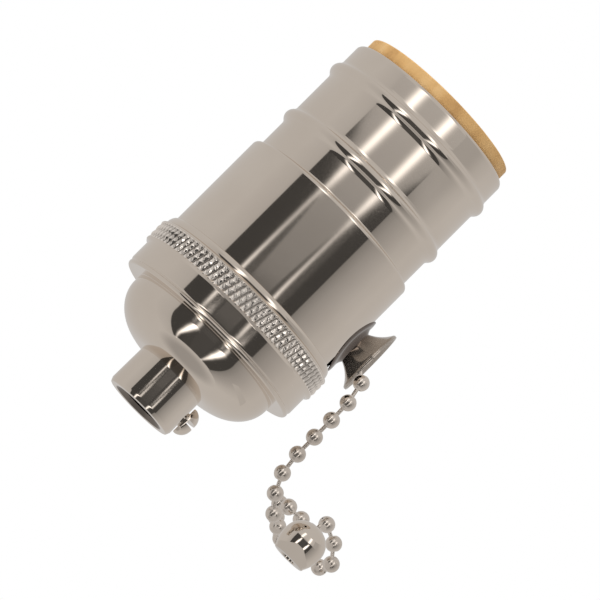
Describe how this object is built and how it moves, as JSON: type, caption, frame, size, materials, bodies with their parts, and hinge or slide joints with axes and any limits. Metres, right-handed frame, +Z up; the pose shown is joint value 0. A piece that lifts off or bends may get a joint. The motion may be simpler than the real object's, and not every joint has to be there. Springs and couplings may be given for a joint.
{
  "type": "pull-chain lamp socket",
  "caption": "Polished-nickel lamp socket with a beaded shell, knurled cap, threaded hub and a built-in pull-chain switch with a trumpet guide and bell pull.",
  "frame": {"origin": "centre of the hub's end face, where the lamp fixture's threaded tube enters", "axes": "+Z up the socket's axis to the lamp's mouth, +X towards the chain guide, which is turned 4 degrees about the axis"},
  "size_m": [0.0648, 0.04, 0.0753],
  "materials": {
    "polished_nickel": "polished nickel plate on brass",
    "chain_nickel": "nickel-plated ball chain",
    "fibre": "tan vulcanised fibre",
    "phenolic": "dark brown moulded phenolic",
    "screw_shell_metal": "rolled thread, bright",
    "brass": "pressed brass",
    "frame_steel": "zinc-plated steel",
    "screw_steel": "nickel-plated screws"
  },
  "bodies": {
    "socket": {"cap": "polished_nickel", "hub_bushing": "polished_nickel", "cap_liner": "fibre", "interior_base": "phenolic", "contact_disk": "phenolic", "assembly_screws": "screw_steel", "screw_shell": "screw_shell_metal", "centre_contact": "brass", "centre_rivet": "brass", "neutral_terminal": "screw_shell_metal", "hot_terminal": "brass", "neutral_screw": "screw_steel", "hot_screw": "brass", "frame_front": "frame_steel", "frame_back": "frame_steel", "drum_shaft": "frame_steel", "return_spring": "frame_steel", "fixed_contact_hot": "brass", "fixed_contact_centre": "brass", "chain_guide": "polished_nickel", "guide_nut": "screw_steel"},
    "set_screw": {"set_screw": "polished_nickel"},
    "shell": {"shell": "polished_nickel"},
    "liner": {"liner": "fibre"},
    "pull": {"chain_inner": "chain_nickel", "pull_chain": "chain_nickel", "end_link": "chain_nickel", "pull_bell": "polished_nickel"},
    "drum": {"pull_drum": "brass", "chain_wrap": "chain_nickel", "pawl": "frame_steel"},
    "rotor": {"ratchet_wheel": "frame_steel", "rotor": "phenolic", "rotor_contact": "brass"}
  },
  "joints": [
    {"name": "pull_slide", "type": "slide", "parent": "socket", "child": "pull", "axis": [0.9976, -0.0698, 0], "range_m": [0, 0.008], "stiffness_N_per_m": 60, "springref_m": -0.004},
    {"name": "drum_turn", "type": "hinge", "parent": "socket", "child": "drum", "pos_m": [0.001, -0.00007, 0.0284], "axis": [0.0698, 0.9976, 0], "range_deg": [0, 90]},
    {"name": "rotor_turn", "type": "hinge", "parent": "socket", "child": "rotor", "pos_m": [0.001, -0.00007, 0.0284], "axis": [0.0698, 0.9976, 0], "range_deg": [0, 90]},
    {"name": "set_screw_turn", "type": "hinge", "parent": "socket", "child": "set_screw", "pos_m": [0.007, 0, 0.0041], "axis": [1, 0, 0], "range_deg": [0, 270]},
    {"name": "shell_lift", "type": "slide", "parent": "socket", "child": "shell", "axis": [0, 0, 1], "range_m": [0, 0.052]},
    {"name": "liner_lift", "type": "slide", "parent": "shell", "child": "liner", "axis": [0, 0, 1], "range_m": [0, 0.053]}
  ],
  "couplings": [
    {"joint": "drum_turn", "follows": "pull_slide", "rad_per_m": 192.31},
    {"joint": "rotor_turn", "follows": "pull_slide", "rad_per_m": 192.31}
  ]
}
